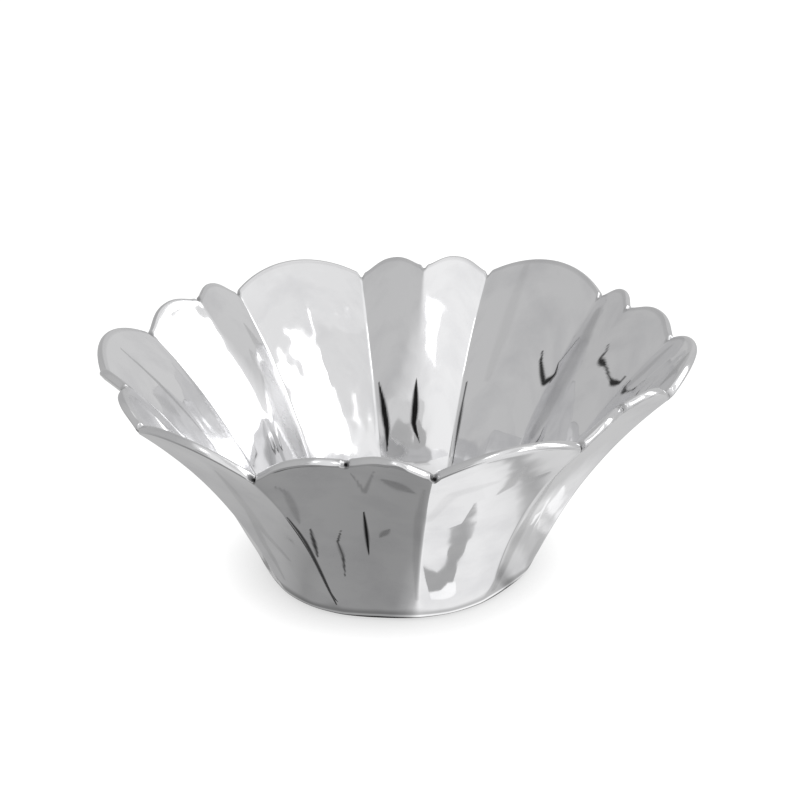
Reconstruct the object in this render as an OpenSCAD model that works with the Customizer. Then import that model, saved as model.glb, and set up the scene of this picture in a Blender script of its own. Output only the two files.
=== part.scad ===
// Petal bowl in polished cast aluminium, standing on four small round pads.
// The bowl is one casting: twelve panels rise from a round foot and flare out to a scalloped lip.
// Six wide panels have a soft keel down the middle. The six between them fold inwards towards the rim,
// where each ends in a pair of narrow petals. A small nick is filed where two petals meet.
// The origin is the middle of the bowl on the surface that it stands on, and +Z is up.

/* [Rim] */
// Radius of the outer lip edge where two panels meet
rim_r = 145; // [120:1:175]
// Height of the outer lip edge above the foot where two panels meet
joint_h = 109.8; // [90:0.2:130]
// Rise of a wide petal's tip above the joints beside it
wide_rise = 10.2; // [5:0.2:14]
// Rise of the split in a folded panel above the joints beside it
split_rise = 6.4; // [2:0.2:9]
// Rise of a narrow petal's tip above the line between its joint and its split
narrow_rise = 5.8; // [3:0.2:9]
// Thickness of the lip
lip_t = 4.4; // [3.6:0.1:6]
// Half width of the nick filed between two petals
nick_r = 2.4; // [1.6:0.1:3.6]
// Depth of that nick
nick_depth = 1.6; // [1:0.1:3]

/* [Wall] */
// Radius of the foot where two panels meet
foot_r = 72.5; // [62:0.5:84]
// Thickness of the wall at the foot
wall_t = 4.2; // [3.4:0.1:5.6]
// Lean of the wall away from upright at the foot, in degrees
foot_flare = 23; // [14:1:30]
// Lean of the wall away from upright at the rim, in degrees
rim_flare = 46.5; // [38:0.5:50]
// Swell of a wide panel beyond flat, at the foot
swell_foot = 1.2; // [0.4:0.1:2]
// Swell of a wide panel beyond flat, halfway up
swell_mid = 2.2; // [1:0.1:4]
// Swell of a wide panel beyond flat, at the rim
swell_rim = 1; // [0.5:0.1:4]
// Depth of the fold in a paired panel, at the foot
fold_foot = 0.4; // [0:0.1:1]
// Depth of the fold in a paired panel, halfway up
fold_mid = 2.2; // [1:0.1:5]
// Depth of the fold in a paired panel, at the rim
fold_rim = 8; // [4:0.1:10]
// Hollow of a narrow petal's outer face at the rim
dish_rim = 1.4; // [0:0.1:2.4]
// Rounding of the edges between the panels
edge_round = 1.6; // [0.8:0.1:2.4]

/* [Foot] */
// Thickness of the floor
floor_t = 4.6; // [3.6:0.1:7]
// Depth of the hollow under the floor
hollow_depth = 1.8; // [1:0.1:3]
// Width of the standing ring around that hollow
ring_w = 13; // [11:0.5:18]
// Width of the rounding of the foot's outer edge
foot_round = 1.6; // [0.8:0.1:2.4]
// Height of that rounding
foot_rise = 4.5; // [1.6:0.1:6]
// Rounding of the edges between the panels at the foot
foot_soft = 3; // [1.6:0.1:5]
// Height over which the softened foot turns into flat panels
foot_blend = 18; // [10:0.5:30]
// Reach of the round between the wall and the floor inside
floor_round = 17; // [10:0.5:24]

/* [Pads] */
// Diameter of a pad
pad_d = 9; // [7:0.5:10]
// Height of a pad, which is the gap under the foot
pad_h = 1; // [0.6:0.1:2]
// Bevel around the bottom edge of a pad
pad_bevel = 0.25; // [0.1:0.05:0.4]

/* [Hidden] */

PANELS = 12;
HALF = 180 / PANELS;
GROUPS = PANELS / 2;
JOINTS = 3 * GROUPS;

// How far each joint has been turned at the rim by hand finishing, as shares of a narrow petal
turn_shares = [-0.14, -0.05, -0.05, 0, 0, 0.03, 0.11, 0.04, 0.13,
    -0.06, -0.02, 0, -0.37, -0.06, 0.02, -0.15, -0.05, 0];
// Power with which that turn grows from the foot to the rim
turn_power = 0.7;
// How far each joint sits above or below its place, as shares of a wide petal's rise
lift_shares = [0.2, 0.03, 0.06, 0.02, -0.12, -0.17, -0.09, 0.02, -0.19,
    0.17, 0.27, 0.33, -0.89, -0.21, 0.07, 0.39, 0.08, 0.06];
// Powers that shape the keel of a wide panel, softer at the foot than at the rim
keel_foot_power = 1.5;
keel_rim_power = 1.12;
// How flat a panel is at the foot, where 0 is round and 1 is flat
foot_flat_share = 0.3;
// Powers that shape the scallops of the lip
wide_power = 2;
narrow_power = 2.3;
narrow_soft_power = 2;
// Height of the lip's round over its thickness
lip_crown_share = 0.3;

// Where the columns of a petal lie, between one nick and the next
WIDE_COLUMNS = 7;
NARROW_COLUMNS = 3;
OUTER_ROWS = 10;
INNER_ROWS = 7;
LIP_ROWS = 5;
FLOOR_ROWS = 3;
FOOT_ROWS = 3;
nick_shares = [0, 0.6, 1];

pad_ring_r = foot_r * cos(HALF) - ring_w / 2;
pad_angles = [45, 135, 225, 315];

// Small helpers
function mix(a, b, t) = a + (b - a) * t;
function wrap(k) = (k + JOINTS) % JOINTS;
function through(a, b, c, t) = a * (1 - t) * (1 - 2 * t) + 4 * b * t * (1 - t) + c * t * (2 * t - 1);

// Joints come in threes: a panel's edge, the split of a folded panel and that panel's other edge
function is_split(k) = k % 3 == 1;
function is_wide(k) = k % 3 == 2;
function joint_angle(k) = 4 * HALF * floor(k / 3) + HALF * (1 + k % 3);
function span(k) = is_wide(wrap(k)) ? 2 * HALF : HALF;
function joint_at(k, u) =
    joint_angle(wrap(k)) + 360 * floor(k / JOINTS) + turn_shares[wrap(k)] * HALF * pow(u, turn_power);

// Radius of a panel's edge at the height u, from 0 at the foot to 1 at the joint
function edge_r(u) =
    let (a = joint_h * tan(foot_flare), b = joint_h * tan(rim_flare))
    foot_r * (1 + 2 * u) * pow(1 - u, 2) + a * u * pow(1 - u, 2)
    + rim_r * u * u * (3 - 2 * u) - b * u * u * (1 - u);

// How far the softened foot has turned into flat panels at the height z
function above_foot(z) =
    let (t = min(1, max(0, z / foot_blend))) mix(foot_flat_share, 1, t * t * (3 - 2 * t));

// Outer radius in petal k at the share s of its width, with sharp edges
function sharp_r(k, s, u) =
    let (w = is_wide(k) ? abs(2 * s - 1) : is_split(k) ? s : 1 - s,
        around = edge_r(u) * mix(1, cos(HALF), 0.5),
        flat = mix(around, edge_r(u) * cos(HALF) / cos(HALF * w), above_foot(u * joint_h)))
    is_wide(k) ? flat + through(swell_foot, swell_mid, swell_rim, u)
        * (1 - pow(w, mix(keel_foot_power, keel_rim_power, min(1, max(0, u)))))
    : flat - through(fold_foot, fold_mid, fold_rim, u) * (1 - w) - 4 * dish_rim * u * w * (1 - w);

// The same, where s may reach into the petal before or after
function any_r(k, s, u) =
    s < 0 ? sharp_r(wrap(k - 1), 1 + s * span(k) / span(k - 1), u)
    : s > 1 ? sharp_r(wrap(k + 1), (s - 1) * span(k) / span(k + 1), u)
    : sharp_r(k, s, u);

// Outer radius with the edges rounded
function outer_r(k, s, z) =
    let (u = z / joint_h, d = mix(foot_soft, edge_round, above_foot(z)) / edge_r(u) * 180 / PI / span(k))
    (any_r(k, s - d, u) + 2 * any_r(k, s, u) + any_r(k, s + d, u)) / 4;

// Lean of the wall, as the radius gained for each unit of height
function lean(k, s, z) = (outer_r(k, s, z + lip_t) - outer_r(k, s, z - lip_t)) / (2 * lip_t);
function thickness(z) = mix(wall_t, lip_t, min(1, z / joint_h));
function inner_r(k, s, z) = outer_r(k, s, z) - thickness(z) * norm([1, lean(k, s, z)]);

// Height of the outer lip edge: the scallop, less the nick beside a joint
function joint_z(k) =
    joint_h + lift_shares[wrap(k)] * wide_rise + (is_split(wrap(k)) ? split_rise : 0);
function nick(k, s) =
    let (away = min(s, 1 - s) * span(k) * PI / 180 * rim_r)
    nick_depth * pow(max(0, 1 - pow(away / nick_r, 2)), 2);
function lip_z(k, s) =
    let (w = abs(2 * s - 1))
    mix(joint_z(k), joint_z(k + 1), s) - nick(k, s)
    + (is_wide(k) ? wide_rise * (1 - pow(w, wide_power))
    : narrow_rise * pow(1 - pow(w, narrow_power), narrow_soft_power));

// Columns around the bowl, closer together in the nicks: the petal, the share of its width, and the
// height of the lip there
function columns() = [for (k = [0:JOINTS - 1])
    let (a = nick_r / rim_r * 180 / PI / span(k), n = is_wide(k) ? WIDE_COLUMNS : NARROW_COLUMNS)
    for (s = concat(a * nick_shares, [for (j = [1:n]) mix(a, 1 - a, j / (n + 1))],
        [for (j = [len(nick_shares) - 1:-1:1]) 1 - a * nick_shares[j]])) [k, s, lip_z(k, s)]];

// Point in column c at the radius r and the height z above the foot
function at(c, r, z) =
    let (u = min(1, max(0, z / joint_h)), az = mix(joint_at(c[0], u), joint_at(c[0] + 1, u), c[1]))
    [r * cos(az), r * sin(az), pad_h + z];

floor_z = hollow_depth + floor_t;
hollow_r = foot_r * cos(HALF) - ring_w;

// Rows of points around the bowl, each at a share t of its stretch of the section: up the outside, over
// the lip, down the inside, round onto the floor, and round the foot
function outer_row(cols, t) = [for (c = cols)
    let (z = mix(foot_rise, c[2], t)) at(c, outer_r(c[0], c[1], z), z)];

function lip_row(cols, t) = [for (c = cols)
    let (k = c[0], s = c[1], z = c[2], m = lean(k, s, z), n = norm([1, m]),
        across = lip_t * (1 - cos(180 * t)) / 2, up = lip_t * lip_crown_share * sin(180 * t))
    at(c, outer_r(k, s, z) + (up * m - across) / n, z + (up + across * m) / n)];

function inner_row(cols, t) = [for (c = cols)
    let (k = c[0], s = c[1], m = lean(k, s, c[2]), top = c[2] + lip_t * m / norm([1, m]),
        z = mix(top, floor_z + floor_round, t))
    at(c, t == 0 ? outer_r(k, s, c[2]) - lip_t / norm([1, m]) : inner_r(k, s, z), z)];

// The round from the wall to the floor is a curve whose middle control point is their corner
function floor_row(cols, t) = [for (c = cols)
    let (k = c[0], s = c[1], z1 = floor_z + floor_round,
        r1 = inner_r(k, s, z1), r2 = inner_r(k, s, floor_z), r3 = r2 - floor_round)
    at(c, pow(1 - t, 2) * r1 + 2 * t * (1 - t) * r2 + t * t * r3, floor_z + pow(1 - t, 2) * floor_round)];

function foot_row(cols, t) = [for (c = cols)
    let (z = foot_rise * (1 - cos(90 * t))) at(c, outer_r(c[0], c[1], z) - foot_round * (1 - sin(90 * t)), z)];

function ring_row(cols, r, z) = [for (c = cols) at(c, r, z)];

module bowl_casting() {
    cols = columns();
    rows = concat(
        [ring_row(cols, hollow_r, hollow_depth), ring_row(cols, hollow_r, 0)],
        [for (j = [0:FOOT_ROWS - 1]) foot_row(cols, j / FOOT_ROWS)],
        [for (j = [0:OUTER_ROWS]) outer_row(cols, j / OUTER_ROWS)],
        [for (j = [1:LIP_ROWS - 1]) lip_row(cols, j / LIP_ROWS)],
        [for (j = [0:INNER_ROWS]) inner_row(cols, j / INNER_ROWS)],
        [for (j = [1:FLOOR_ROWS]) floor_row(cols, j / FLOOR_ROWS)]);
    n = len(cols);
    m = len(rows);
    skin = [for (i = [0:m - 2], j = [0:n - 1])
        let (a = i * n + j, b = i * n + (j + 1) % n, c = a + n, d = b + n)
        each [[a, c, b], [b, c, d]]];
    under = [for (j = [0:n - 1]) [m * n, j, (j + 1) % n]];
    inside = [for (j = [0:n - 1]) [m * n + 1, (m - 1) * n + (j + 1) % n, (m - 1) * n + j]];
    points = concat([for (row = rows) each row], [[0, 0, pad_h + hollow_depth], [0, 0, pad_h + floor_z]]);
    color("silver") polyhedron(points, concat(skin, under, inside), convexity = 8);
}

module foot_pad(angle) {
    color("gainsboro") rotate(angle) translate([pad_ring_r, 0, 0]) rotate_extrude($fn = 48)
        polygon([[0, 0], [pad_d / 2 - pad_bevel, 0], [pad_d / 2, pad_bevel], [pad_d / 2, pad_h], [0, pad_h]]);
}

bowl_casting();
foot_pad(pad_angles[0]);  // foot_pad_1
foot_pad(pad_angles[1]);  // foot_pad_2
foot_pad(pad_angles[2]);  // foot_pad_3
foot_pad(pad_angles[3]);  // foot_pad_4
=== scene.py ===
"""Petal bowl in hand-polished cast aluminium on four small pads, on a white floor in soft studio light.

Lengths are in metres and angles in degrees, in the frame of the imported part: the origin is on the floor
under the middle of the bowl, +Z is up, and azimuths turn from +X towards +Y.
"""

import logging
import math
from dataclasses import dataclass, field
from enum import Enum, IntEnum

import bpy
import numpy as np
from mathutils import Matrix, Vector, noise


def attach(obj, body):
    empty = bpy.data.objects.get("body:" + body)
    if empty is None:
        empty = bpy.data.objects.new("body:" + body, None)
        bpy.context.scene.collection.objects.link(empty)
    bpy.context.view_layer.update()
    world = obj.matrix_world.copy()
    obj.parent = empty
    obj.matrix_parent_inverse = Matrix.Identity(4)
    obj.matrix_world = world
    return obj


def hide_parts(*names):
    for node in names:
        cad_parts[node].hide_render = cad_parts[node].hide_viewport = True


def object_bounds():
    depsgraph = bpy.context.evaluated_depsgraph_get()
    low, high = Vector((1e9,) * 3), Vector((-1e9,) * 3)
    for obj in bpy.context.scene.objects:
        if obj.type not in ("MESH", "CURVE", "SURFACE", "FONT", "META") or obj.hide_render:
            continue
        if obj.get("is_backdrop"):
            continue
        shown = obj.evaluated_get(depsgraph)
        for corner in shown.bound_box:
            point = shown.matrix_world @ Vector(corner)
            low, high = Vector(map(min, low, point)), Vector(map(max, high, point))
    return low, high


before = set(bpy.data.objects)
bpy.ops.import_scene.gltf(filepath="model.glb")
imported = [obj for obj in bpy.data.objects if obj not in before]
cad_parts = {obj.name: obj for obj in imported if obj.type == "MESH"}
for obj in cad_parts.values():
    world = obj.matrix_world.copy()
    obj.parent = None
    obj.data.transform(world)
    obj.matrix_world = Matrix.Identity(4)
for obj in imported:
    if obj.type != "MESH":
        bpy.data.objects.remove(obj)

Socket = bpy.types.NodeSocket
Triple = tuple[float, float, float]
Pairs = tuple[tuple[float, float], ...]

log = logging.getLogger("petal_bowl")


def mix(a: np.ndarray | float, b: np.ndarray | float, t: np.ndarray | float) -> np.ndarray | float:
    """Blends two values.

    Args:
        a: Value at t = 0.
        b: Value at t = 1.
        t: Share of the way.

    Returns:
        The value at t.
    """
    return a + (b - a) * t


def through(foot: float, middle: float, rim: float, u: np.ndarray) -> np.ndarray:
    """Runs a parabola through three values.

    Args:
        foot: Value at u = 0.
        middle: Value at u = 0.5.
        rim: Value at u = 1.
        u: Share of the height.

    Returns:
        The value at u.
    """
    return foot * (1 - u) * (1 - 2 * u) + 4 * middle * u * (1 - u) + rim * u * (2 * u - 1)


def facing(aim: Vector, azimuth: float, elevation: float, distance: float, roll: float) -> Matrix:
    """Finds the place of something that stands round the set and faces a point.

    Args:
        aim: The point.
        azimuth: Direction from the point.
        elevation: Height of that direction above the horizon.
        distance: Distance from the point in metres.
        roll: Turn about the line to the point.

    Returns:
        The world matrix, whose Z axis points away from the point.
    """
    turn = math.radians(azimuth)
    tilt = math.radians(elevation)
    away = Vector((math.cos(turn) * math.cos(tilt), math.sin(turn) * math.cos(tilt), math.sin(tilt)))
    turned = away.to_track_quat("Z", "Y").to_matrix().to_4x4()
    return Matrix.Translation(aim + away * distance) @ turned @ Matrix.Rotation(math.radians(roll), 4, "Z")


class Petal(Enum):
    """Which part of a panel a petal fills, as its number modulo three."""

    BEFORE_SPLIT = 0
    AFTER_SPLIT = 1
    WIDE = 2


class Skin(Enum):
    """The two sides of the wall, each with its own waves."""

    OUTSIDE = 1.0
    INSIDE = -1.0


class ColourMix(IntEnum):
    """Numbers of a Mix node's sockets when it blends colours."""

    FACTOR = 0
    FIRST = 6
    SECOND = 7
    RESULT = 2


@dataclass
class Nodes:
    """Builds the shader nodes of one material, or of the world."""

    tree: bpy.types.NodeTree

    def fill(self, node: bpy.types.Node, inputs: dict[str | int, object]) -> None:
        """Fills a node's inputs.

        Args:
            node: The node.
            inputs: Sockets to link, or plain values, by the name or number of the input.
        """
        for key, value in inputs.items():
            if isinstance(value, Socket):
                self.tree.links.new(value, node.inputs[key])
            else:
                node.inputs[key].default_value = value

    def add(self, kind: str, inputs: dict[str | int, object] | None = None) -> bpy.types.Node:
        """Adds a node.

        Args:
            kind: The node's type, without its prefix.
            inputs: What fills its inputs.

        Returns:
            The node.
        """
        node = self.tree.nodes.new("ShaderNode" + kind)
        self.fill(node, inputs or {})
        return node

    def math(self, operation: str, first: Socket, second: Socket) -> Socket:
        """Works out a number from two others.

        Args:
            operation: What is done with them.
            first: First number.
            second: Second number.

        Returns:
            The result's socket.
        """
        node = self.add("Math", {0: first, 1: second})
        node.operation = operation
        return node.outputs[0]

    def ramp(self, source: Socket, low: float, high: float, low_out: Socket | float,
             high_out: float) -> Socket:
        """Maps one range of numbers onto another.

        Args:
            source: The number that is mapped.
            low: Value that becomes low_out.
            high: Value that becomes high_out.
            low_out: Result at low and below.
            high_out: Result at high and above.

        Returns:
            The mapped number's socket.
        """
        node = self.add("MapRange", {"Value": source, "From Min": low, "From Max": high,
                                     "To Min": low_out, "To Max": high_out})
        return node.outputs["Result"]

    def blend(self, factor: Socket | float, *colours: Socket | Triple, mode: str = "MIX") -> Socket:
        """Blends two colours.

        Args:
            factor: Share of the second colour.
            colours: The two colours.
            mode: How the second colour goes over the first.

        Returns:
            The blended colour's socket.
        """
        node = self.add("Mix")
        node.data_type = "RGBA"
        node.blend_type = mode
        first, second = [one if isinstance(one, Socket) else (*one, 1) for one in colours]
        self.fill(node, {ColourMix.FACTOR: factor, ColourMix.FIRST: first, ColourMix.SECOND: second})
        return node.outputs[ColourMix.RESULT]

    def clouds(self, place: Socket, scale: float, detail: float, stretch: Triple = (1, 1, 1)) -> Socket:
        """Makes a noise pattern.

        Args:
            place: Coordinates on the surface.
            scale: Waves per metre.
            detail: How many finer layers the pattern has.
            stretch: Factors on the three coordinates.

        Returns:
            The pattern's socket, around 0.5.
        """
        spot = self.add("Mapping", {"Vector": place, "Scale": stretch}).outputs["Vector"]
        return self.add("TexNoise", {"Vector": spot, "Scale": scale, "Detail": detail}).outputs["Fac"]

    def bump(self, pattern: Socket, strength: float, height: float) -> Socket:
        """Raises a fine pattern on the surface.

        Args:
            pattern: The pattern.
            strength: How much of it shows.
            height: Its height in metres.

        Returns:
            The normal's socket.
        """
        node = self.add("Bump", {"Strength": strength, "Distance": height, "Height": pattern})
        return node.outputs["Normal"]

    def tones(self, share: Socket, stops: list[tuple[float, float]]) -> Socket:
        """Paints grey tones along a share.

        Args:
            share: The share, from 0 to 1.
            stops: Pairs of share and tone.

        Returns:
            The tone's socket.
        """
        ramp = self.add("ValToRGB", {"Fac": share})
        marks = ramp.color_ramp.elements
        while len(marks) < len(stops):
            marks.new(0.5)
        for mark, (place, tone) in zip(marks, stops):
            mark.position = place
        for mark, (place, tone) in zip(marks, stops):
            mark.color = (tone, tone, tone, 1)
        return ramp.outputs["Color"]


def set_shape(name: str, corners: list[Triple]) -> tuple[bpy.types.Object, Nodes]:
    """Makes a flat shape that belongs to the set.

    Args:
        name: The object's name.
        corners: Its outline.

    Returns:
        The object, and its material's nodes, of which there are none yet.
    """
    mesh = bpy.data.meshes.new(name + "_mesh")
    mesh.from_pydata(corners, [], [tuple(range(len(corners)))])
    shape = bpy.data.objects.new(name, mesh)
    bpy.context.scene.collection.objects.link(shape)
    material = bpy.data.materials.new(name)
    material.use_nodes = True
    material.node_tree.nodes.clear()
    mesh.materials.append(material)
    shape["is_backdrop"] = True
    return shape, Nodes(material.node_tree)


def mirrored_shape(name: str, corners: list[Triple], tone: float) -> bpy.types.Object:
    """Makes a flat shape that glows at one tone, lights nothing and shows in mirror images only, as a
    painted reflection.

    Args:
        name: The object's name.
        corners: Its outline.
        tone: Its grey level.

    Returns:
        The object.
    """
    shape, nodes = set_shape(name, corners)
    glow = nodes.add("Emission", {"Color": (tone, tone, tone, 1)})
    nodes.add("OutputMaterial", {"Surface": glow.outputs[0]})
    shape.visible_camera = False
    shape.visible_diffuse = False
    shape.visible_shadow = False
    return shape


@dataclass(frozen=True)
class Finish:
    """A surface finish that builds one material from shader nodes."""

    name: str
    colour: Triple

    def start(self) -> tuple[bpy.types.Material, Nodes, bpy.types.Node]:
        """Makes the material with its main shader.

        Returns:
            The material, its nodes and its Principled shader.
        """
        material = bpy.data.materials.new(self.name)
        material.use_nodes = True
        material.diffuse_color = (*self.colour, 1)
        return material, Nodes(material.node_tree), material.node_tree.nodes["Principled BSDF"]


@dataclass(frozen=True)
class PolishedCasting(Finish):
    """Cast aluminium buffed bright by hand, with a faint cloud of wipe marks and fine buffing lines."""

    name: str = "polished_casting"
    colour: Triple = (0.90, 0.90, 0.91)
    dull_colour: Triple = (0.80, 0.80, 0.815)
    bright_roughness: float = 0.035
    dull_roughness: float = 0.11
    cloud_scale: float = 38.0
    cloud_detail: float = 4
    tone_range: tuple[float, float] = (0.45, 0.72)
    smooth_range: tuple[float, float] = (0.35, 0.75)
    line_scale: float = 900.0
    line_detail: float = 2
    line_stretch: Triple = (1.0, 0.05, 1.0)
    line_strength: float = 0.035
    line_height: float = 0.00004
    # Near-black, dull colour painted where the mesh carries painted shade and painted dark reflections.
    painted_shade_colour: Triple = (0.02, 0.02, 0.02)
    painted_shade_roughness: float = 0.6

    def material(self) -> bpy.types.Material:
        """Builds the material.

        Returns:
            The finished material.
        """
        material, nodes, shader = self.start()
        grain = nodes.add("Attribute")
        grain.attribute_name = BowlCasting.GRAIN
        place = grain.outputs["Vector"]
        # Share of painted shade and painted dark reflection on the mesh, which blends the metal to near
        # black and roughens it.
        painted_shade = nodes.add("Attribute")
        painted_shade.attribute_name = BowlCasting.PAINTED_SHADE_ATTRIBUTE
        painted_shade_and_reflection = painted_shade.outputs["Fac"]
        cloud = nodes.clouds(place, self.cloud_scale, self.cloud_detail)
        lines = nodes.clouds(place, self.line_scale, self.line_detail, self.line_stretch)
        metal = nodes.blend(nodes.ramp(cloud, *self.tone_range, 0, 1), self.colour, self.dull_colour)
        smooth = nodes.ramp(cloud, *self.smooth_range, self.bright_roughness, self.dull_roughness)
        nodes.fill(shader, {"Base Color": nodes.blend(painted_shade_and_reflection, metal, self.painted_shade_colour),
                            "Roughness": nodes.ramp(painted_shade_and_reflection, 0, 1, smooth, self.painted_shade_roughness),
                            "Normal": nodes.bump(lines, self.line_strength, self.line_height),
                            "Metallic": 1.0})
        return material


@dataclass(frozen=True)
class PadRubber(Finish):
    """Soft grey rubber with a slightly clouded skin."""

    name: str = "pad_rubber"
    colour: Triple = (0.60, 0.61, 0.61)
    worn_colour: Triple = (0.48, 0.49, 0.49)
    roughness: float = 0.45
    worn_roughness: float = 0.7
    cloud_scale: float = 420.0
    cloud_detail: float = 3
    tone_range: tuple[float, float] = (0.4, 0.7)
    smooth_range: tuple[float, float] = (0.35, 0.7)
    pore_scale: float = 2600.0
    pore_detail: float = 2
    pore_height: float = 0.00003
    pore_strength: float = 0.3

    def material(self) -> bpy.types.Material:
        """Builds the material.

        Returns:
            The finished material.
        """
        material, nodes, shader = self.start()
        place = nodes.add("TexCoord").outputs["Object"]
        cloud = nodes.clouds(place, self.cloud_scale, self.cloud_detail)
        pores = nodes.clouds(place, self.pore_scale, self.pore_detail)
        tone = nodes.ramp(cloud, *self.tone_range, 0, 1)
        rough = nodes.ramp(cloud, *self.smooth_range, self.roughness, self.worn_roughness)
        nodes.fill(shader, {"Base Color": nodes.blend(tone, self.colour, self.worn_colour),
                            "Roughness": rough,
                            "Normal": nodes.bump(pores, self.pore_strength, self.pore_height)})
        return material


@dataclass
class PetalWall:
    """The fluted wall as a surface: twelve panels round a foot, flaring to eighteen petals.

    A petal is numbered by the joint that it starts at, and a share runs over its width from 0 to 1.
    Heights are above the foot, and u is that height as a share of joint_h.
    """

    rim_r: float = 0.145
    joint_h: float = 0.1098
    wide_rise: float = 0.0102
    split_rise: float = 0.0064
    narrow_rise: float = 0.0058
    lip_t: float = 0.0044
    nick_r: float = 0.0024
    nick_depth: float = 0.0016
    foot_r: float = 0.0725
    wall_t: float = 0.0042
    foot_flare: float = 23.0
    rim_flare: float = 46.5
    swells: Triple = (0.0012, 0.0022, 0.001)
    folds: Triple = (0.0004, 0.0022, 0.008)
    dish_rim: float = 0.0014
    edge_round: float = 0.0022
    foot_edge_round: float = 0.006
    foot_blend: float = 0.018
    foot_flat_share: float = 0.3
    round_taps: int = 9
    panels: int = 12
    turn_power: float = 0.7
    keel_powers: tuple[float, float] = (1.5, 1.12)
    wide_power: float = 2.0
    narrow_power: float = 2.3
    narrow_soft_power: float = 2.0
    lip_crown_share: float = 0.3
    turn_shares: tuple[float, ...] = (-0.14, -0.05, -0.05, 0, 0, 0.03, 0.11, 0.04, 0.13,
                                      -0.06, -0.02, 0, -0.37, -0.06, 0.02, -0.15, -0.05, 0)
    lift_shares: tuple[float, ...] = (0.2, 0.03, 0.06, 0.02, -0.12, -0.17, -0.09, 0.02, -0.19,
                                      0.17, 0.27, 0.33, -0.89, -0.21, 0.07, 0.39, 0.08, 0.06)

    @property
    def half(self) -> float:
        """Half of a panel's angle, which is a narrow petal's angle."""
        return 180 / self.panels

    @property
    def joints(self) -> int:
        """How many joints, and petals, there are."""
        return 3 * self.panels // 2

    def spans(self, petal: np.ndarray) -> np.ndarray:
        """Gives the angle that each petal spans.

        Args:
            petal: Petal numbers, which may run past either end.

        Returns:
            Angles in degrees.
        """
        return np.where(petal % 3 == Petal.WIDE.value, 2 * self.half, self.half)

    def joint_azimuth(self, joint: np.ndarray, u: np.ndarray) -> np.ndarray:
        """Gives the azimuth of a joint, turned a little by hand finishing.

        Args:
            joint: Joint numbers from 0 to the number of joints.
            u: Share of the height.

        Returns:
            Azimuths in degrees.
        """
        turn = np.take(self.turn_shares, joint % self.joints)
        even = 4 * self.half * (joint // 3) + self.half * (1 + joint % 3)
        return even + turn * self.half * np.clip(u, 0, 1) ** self.turn_power

    def edge_radius(self, u: np.ndarray) -> np.ndarray:
        """Gives the radius of the panels' edges.

        Args:
            u: Share of the height.

        Returns:
            Radii in metres.
        """
        start = self.joint_h * math.tan(math.radians(self.foot_flare))
        end = self.joint_h * math.tan(math.radians(self.rim_flare))
        return (self.foot_r * (1 + 2 * u) * (1 - u) ** 2 + start * u * (1 - u) ** 2
                + self.rim_r * u * u * (3 - 2 * u) - end * u * u * (1 - u))

    def above_foot(self, z: np.ndarray) -> np.ndarray:
        """Tells how far the round foot has turned into flat panels.

        Args:
            z: Heights above the foot.

        Returns:
            Shares that rise to 1 above the blend.
        """
        t = np.clip(z / self.foot_blend, 0, 1)
        return mix(self.foot_flat_share, 1, t * t * (3 - 2 * t))

    def sharp_radius(self, petal: np.ndarray, share: np.ndarray, u: np.ndarray) -> np.ndarray:
        """Gives the outer radius with sharp edges between the panels.

        Args:
            petal: Petal numbers.
            share: Shares of the petals' widths, from 0 to 1.
            u: Share of the height.

        Returns:
            Radii in metres.
        """
        kind = petal % 3
        away = np.where(kind == Petal.WIDE.value, np.abs(2 * share - 1),
                        np.where(kind == Petal.AFTER_SPLIT.value, share, 1 - share))
        edge = self.edge_radius(u)
        inset = edge * (1 - math.cos(math.radians(self.half)))
        flat = (edge - inset) / np.cos(np.radians(self.half * away))
        flat = mix(edge - 0.5 * inset, flat, self.above_foot(u * self.joint_h))
        wide = flat + through(*self.swells, u) * (1 - away ** mix(*self.keel_powers, np.clip(u, 0, 1)))
        pair = flat - through(*self.folds, u) * (1 - away) - 4 * self.dish_rim * u * away * (1 - away)
        return np.where(kind == Petal.WIDE.value, wide, pair)

    def outer_radius(self, petal: np.ndarray, share: np.ndarray, z: np.ndarray) -> np.ndarray:
        """Gives the outer radius with the edges rounded.

        Args:
            petal: Petal numbers.
            share: Shares of the petals' widths.
            z: Heights above the foot.

        Returns:
            Radii in metres.
        """
        u = z / self.joint_h
        span = self.spans(petal)
        rounding = mix(self.foot_edge_round, self.edge_round, self.above_foot(z))
        reach = np.degrees(rounding / self.edge_radius(u)) / span
        total = 0
        weights = 0
        for tap in range(self.round_taps):
            place = 2 * (tap + 1) / (self.round_taps + 1) - 1
            weight = 1 + math.cos(math.pi * place)
            moved = share + place * reach
            before = moved < 0
            after = moved > 1
            there = np.where(before, petal - 1, np.where(after, petal + 1, petal)) % self.joints
            scale = span / self.spans(there)
            inner = np.where(before, 1 + moved * scale, np.where(after, (moved - 1) * scale, moved))
            total = total + weight * self.sharp_radius(there, inner, u)
            weights += weight
        return total / weights

    def lean(self, petal: np.ndarray, share: np.ndarray, z: np.ndarray) -> np.ndarray:
        """Gives the wall's lean, as the radius gained for each unit of height.

        Args:
            petal: Petal numbers.
            share: Shares of the petals' widths.
            z: Heights above the foot.

        Returns:
            Slopes without a unit.
        """
        above = self.outer_radius(petal, share, z + self.lip_t)
        below = self.outer_radius(petal, share, z - self.lip_t)
        return (above - below) / (2 * self.lip_t)

    def inner_radius(self, petal: np.ndarray, share: np.ndarray, z: np.ndarray) -> np.ndarray:
        """Gives the inner radius, a wall's thickness inside the outer one.

        Args:
            petal: Petal numbers.
            share: Shares of the petals' widths.
            z: Heights above the foot.

        Returns:
            Radii in metres.
        """
        thickness = mix(self.wall_t, self.lip_t, np.minimum(1, z / self.joint_h))
        return self.outer_radius(petal, share, z) - thickness * np.hypot(1, self.lean(petal, share, z))

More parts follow.
